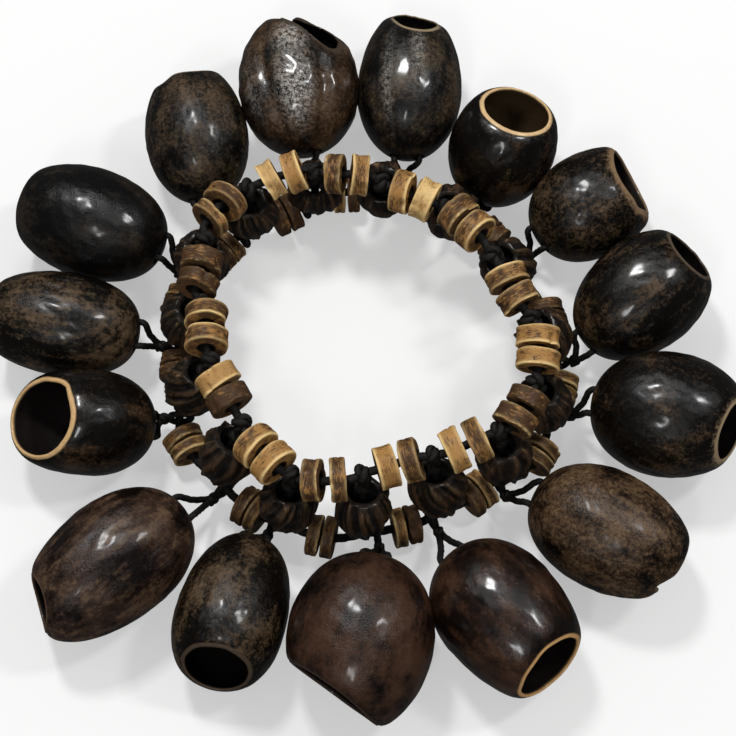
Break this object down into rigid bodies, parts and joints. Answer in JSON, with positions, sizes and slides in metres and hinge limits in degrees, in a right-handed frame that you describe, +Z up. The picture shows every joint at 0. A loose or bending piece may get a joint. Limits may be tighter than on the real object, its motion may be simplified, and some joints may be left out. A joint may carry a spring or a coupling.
{
  "type": "shaker bracelet",
  "caption": "Bracelet of open hollow nut shells hung on cord loops round a flared band of discs and barrel beads; the shells knock together as it shakes",
  "frame": {"origin": "centre of the overall footprint, on the surface the bracelet lies on", "axes": "+Z up, out of that surface, along the axis of the wrist opening; +Y towards the far side of the picture, +X to its right"},
  "size_m": [0.149, 0.1534, 0.0269],
  "materials": {
    "nut_shell": "dark brown nut shell, lacquered, mottled with tan",
    "cord": "waxed black cord",
    "barrel": "dark fluted bead, worn ridges",
    "disc": "tan coconut disc, smooth"
  },
  "bodies": {
    "band": {"band_cord": "cord", "barrel_bead_01": "barrel", "barrel_bead_02": "barrel", "barrel_bead_04": "barrel", "barrel_bead_05": "barrel", "barrel_bead_06": "barrel", "barrel_bead_07": "barrel", "barrel_bead_08": "barrel", "barrel_bead_09": "barrel", "barrel_bead_10": "barrel", "barrel_bead_11": "barrel", "barrel_bead_12": "barrel", "barrel_bead_13": "barrel", "barrel_bead_14": "barrel", "barrel_bead_15": "barrel", "disc_pair_01": "disc", "disc_pair_02": "disc", "disc_pair_03": "disc", "disc_pair_04": "disc", "disc_pair_05": "disc", "disc_pair_06": "disc", "disc_pair_07": "disc", "disc_pair_08": "disc", "disc_pair_09": "disc", "disc_pair_10": "disc", "disc_pair_11": "disc", "disc_pair_12": "disc", "disc_pair_13": "disc", "disc_pair_14": "disc", "disc_pair_15": "disc"},
    "nut_01": {"nut_shell_01": "nut_shell", "nut_hanger_01": "cord"},
    "nut_02": {"nut_shell_02": "nut_shell", "nut_hanger_02": "cord"},
    "nut_03": {"nut_shell_03": "nut_shell", "nut_hanger_03": "cord"},
    "nut_04": {"nut_shell_04": "nut_shell", "nut_hanger_04": "cord"},
    "nut_05": {"nut_shell_05": "nut_shell", "nut_hanger_05": "cord"},
    "nut_06": {"nut_shell_06": "nut_shell", "nut_hanger_06": "cord"},
    "nut_07": {"nut_shell_07": "nut_shell", "nut_hanger_07": "cord"},
    "nut_08": {"nut_shell_08": "nut_shell", "nut_hanger_08": "cord"},
    "nut_09": {"nut_shell_09": "nut_shell", "nut_hanger_09": "cord"},
    "nut_10": {"nut_shell_10": "nut_shell", "nut_hanger_10": "cord"},
    "nut_11": {"nut_shell_11": "nut_shell", "nut_hanger_11": "cord"},
    "nut_12": {"nut_shell_12": "nut_shell", "nut_hanger_12": "cord"},
    "nut_13": {"nut_shell_13": "nut_shell", "nut_hanger_13": "cord"},
    "nut_14": {"nut_shell_14": "nut_shell", "nut_hanger_14": "cord"},
    "nut_15": {"nut_shell_15": "nut_shell", "nut_hanger_15": "cord"}
  },
  "joints": [
    {"name": "nut_01_swing", "type": "hinge", "parent": "band", "child": "nut_01", "pos_m": [-0.02292, 0.03, 0.00379], "axis": [0.859, 0.512, 0], "range_deg": [-75, 8]},
    {"name": "nut_02_swing", "type": "hinge", "parent": "band", "child": "nut_02", "pos_m": [-0.01012, 0.03662, 0.00379], "axis": [-0.9051, -0.4253, 0], "range_deg": [-2, 75]},
    {"name": "nut_03_swing", "type": "hinge", "parent": "band", "child": "nut_03", "pos_m": [0.00487, 0.03823, 0.00379], "axis": [0.9943, -0.1066, 0], "range_deg": [-75, 18]},
    {"name": "nut_04_swing", "type": "hinge", "parent": "band", "child": "nut_04", "pos_m": [0.01991, 0.03287, 0.00379], "axis": [-0.8363, 0.5483, 0], "range_deg": [-6, 75]},
    {"name": "nut_05_swing", "type": "hinge", "parent": "band", "child": "nut_05", "pos_m": [0.03223, 0.01955, 0.00379], "axis": [0.5363, -0.844, 0], "range_deg": [-75, 12]},
    {"name": "nut_06_swing", "type": "hinge", "parent": "band", "child": "nut_06", "pos_m": [0.0386, 0.00234, 0.00379], "axis": [-0.1635, 0.9865, 0], "range_deg": [-6, 75]},
    {"name": "nut_07_swing", "type": "hinge", "parent": "band", "child": "nut_07", "pos_m": [0.03719, -0.01276, 0.00379], "axis": [-0.2824, -0.9593, 0], "range_deg": [-75, 10]},
    {"name": "nut_08_swing", "type": "hinge", "parent": "band", "child": "nut_08", "pos_m": [0.02871, -0.02407, 0.00379], "axis": [0.8985, 0.4391, 0], "range_deg": [-4, 75]},
    {"name": "nut_09_swing", "type": "hinge", "parent": "band", "child": "nut_09", "pos_m": [0.01552, -0.03173, 0.00379], "axis": [-0.8988, -0.4384, 0], "range_deg": [-75, 20]},
    {"name": "nut_10_swing", "type": "hinge", "parent": "band", "child": "nut_10", "pos_m": [0.00013, -0.03625, 0.00379], "axis": [0.9852, 0.1712, 0], "range_deg": [-8, 75]},
    {"name": "nut_11_swing", "type": "hinge", "parent": "band", "child": "nut_11", "pos_m": [-0.0152, -0.03445, 0.00379], "axis": [-0.9309, 0.3652, 0], "range_deg": [-75, 16]},
    {"name": "nut_12_swing", "type": "hinge", "parent": "band", "child": "nut_12", "pos_m": [-0.029, -0.02488, 0.00379], "axis": [0.7023, -0.7119, 0], "range_deg": [-20, 75]},
    {"name": "nut_13_swing", "type": "hinge", "parent": "band", "child": "nut_13", "pos_m": [-0.03673, -0.00937, 0.00379], "axis": [-0.0525, 0.9986, 0], "range_deg": [-63, 20]},
    {"name": "nut_14_swing", "type": "hinge", "parent": "band", "child": "nut_14", "pos_m": [-0.03755, 0.0063, 0.00379], "axis": [0.0407, -0.9992, 0], "range_deg": [-16, 75]},
    {"name": "nut_15_swing", "type": "hinge", "parent": "band", "child": "nut_15", "pos_m": [-0.03331, 0.01962, 0.00379], "axis": [0.5844, 0.8115, 0], "range_deg": [-75, 4]}
  ]
}
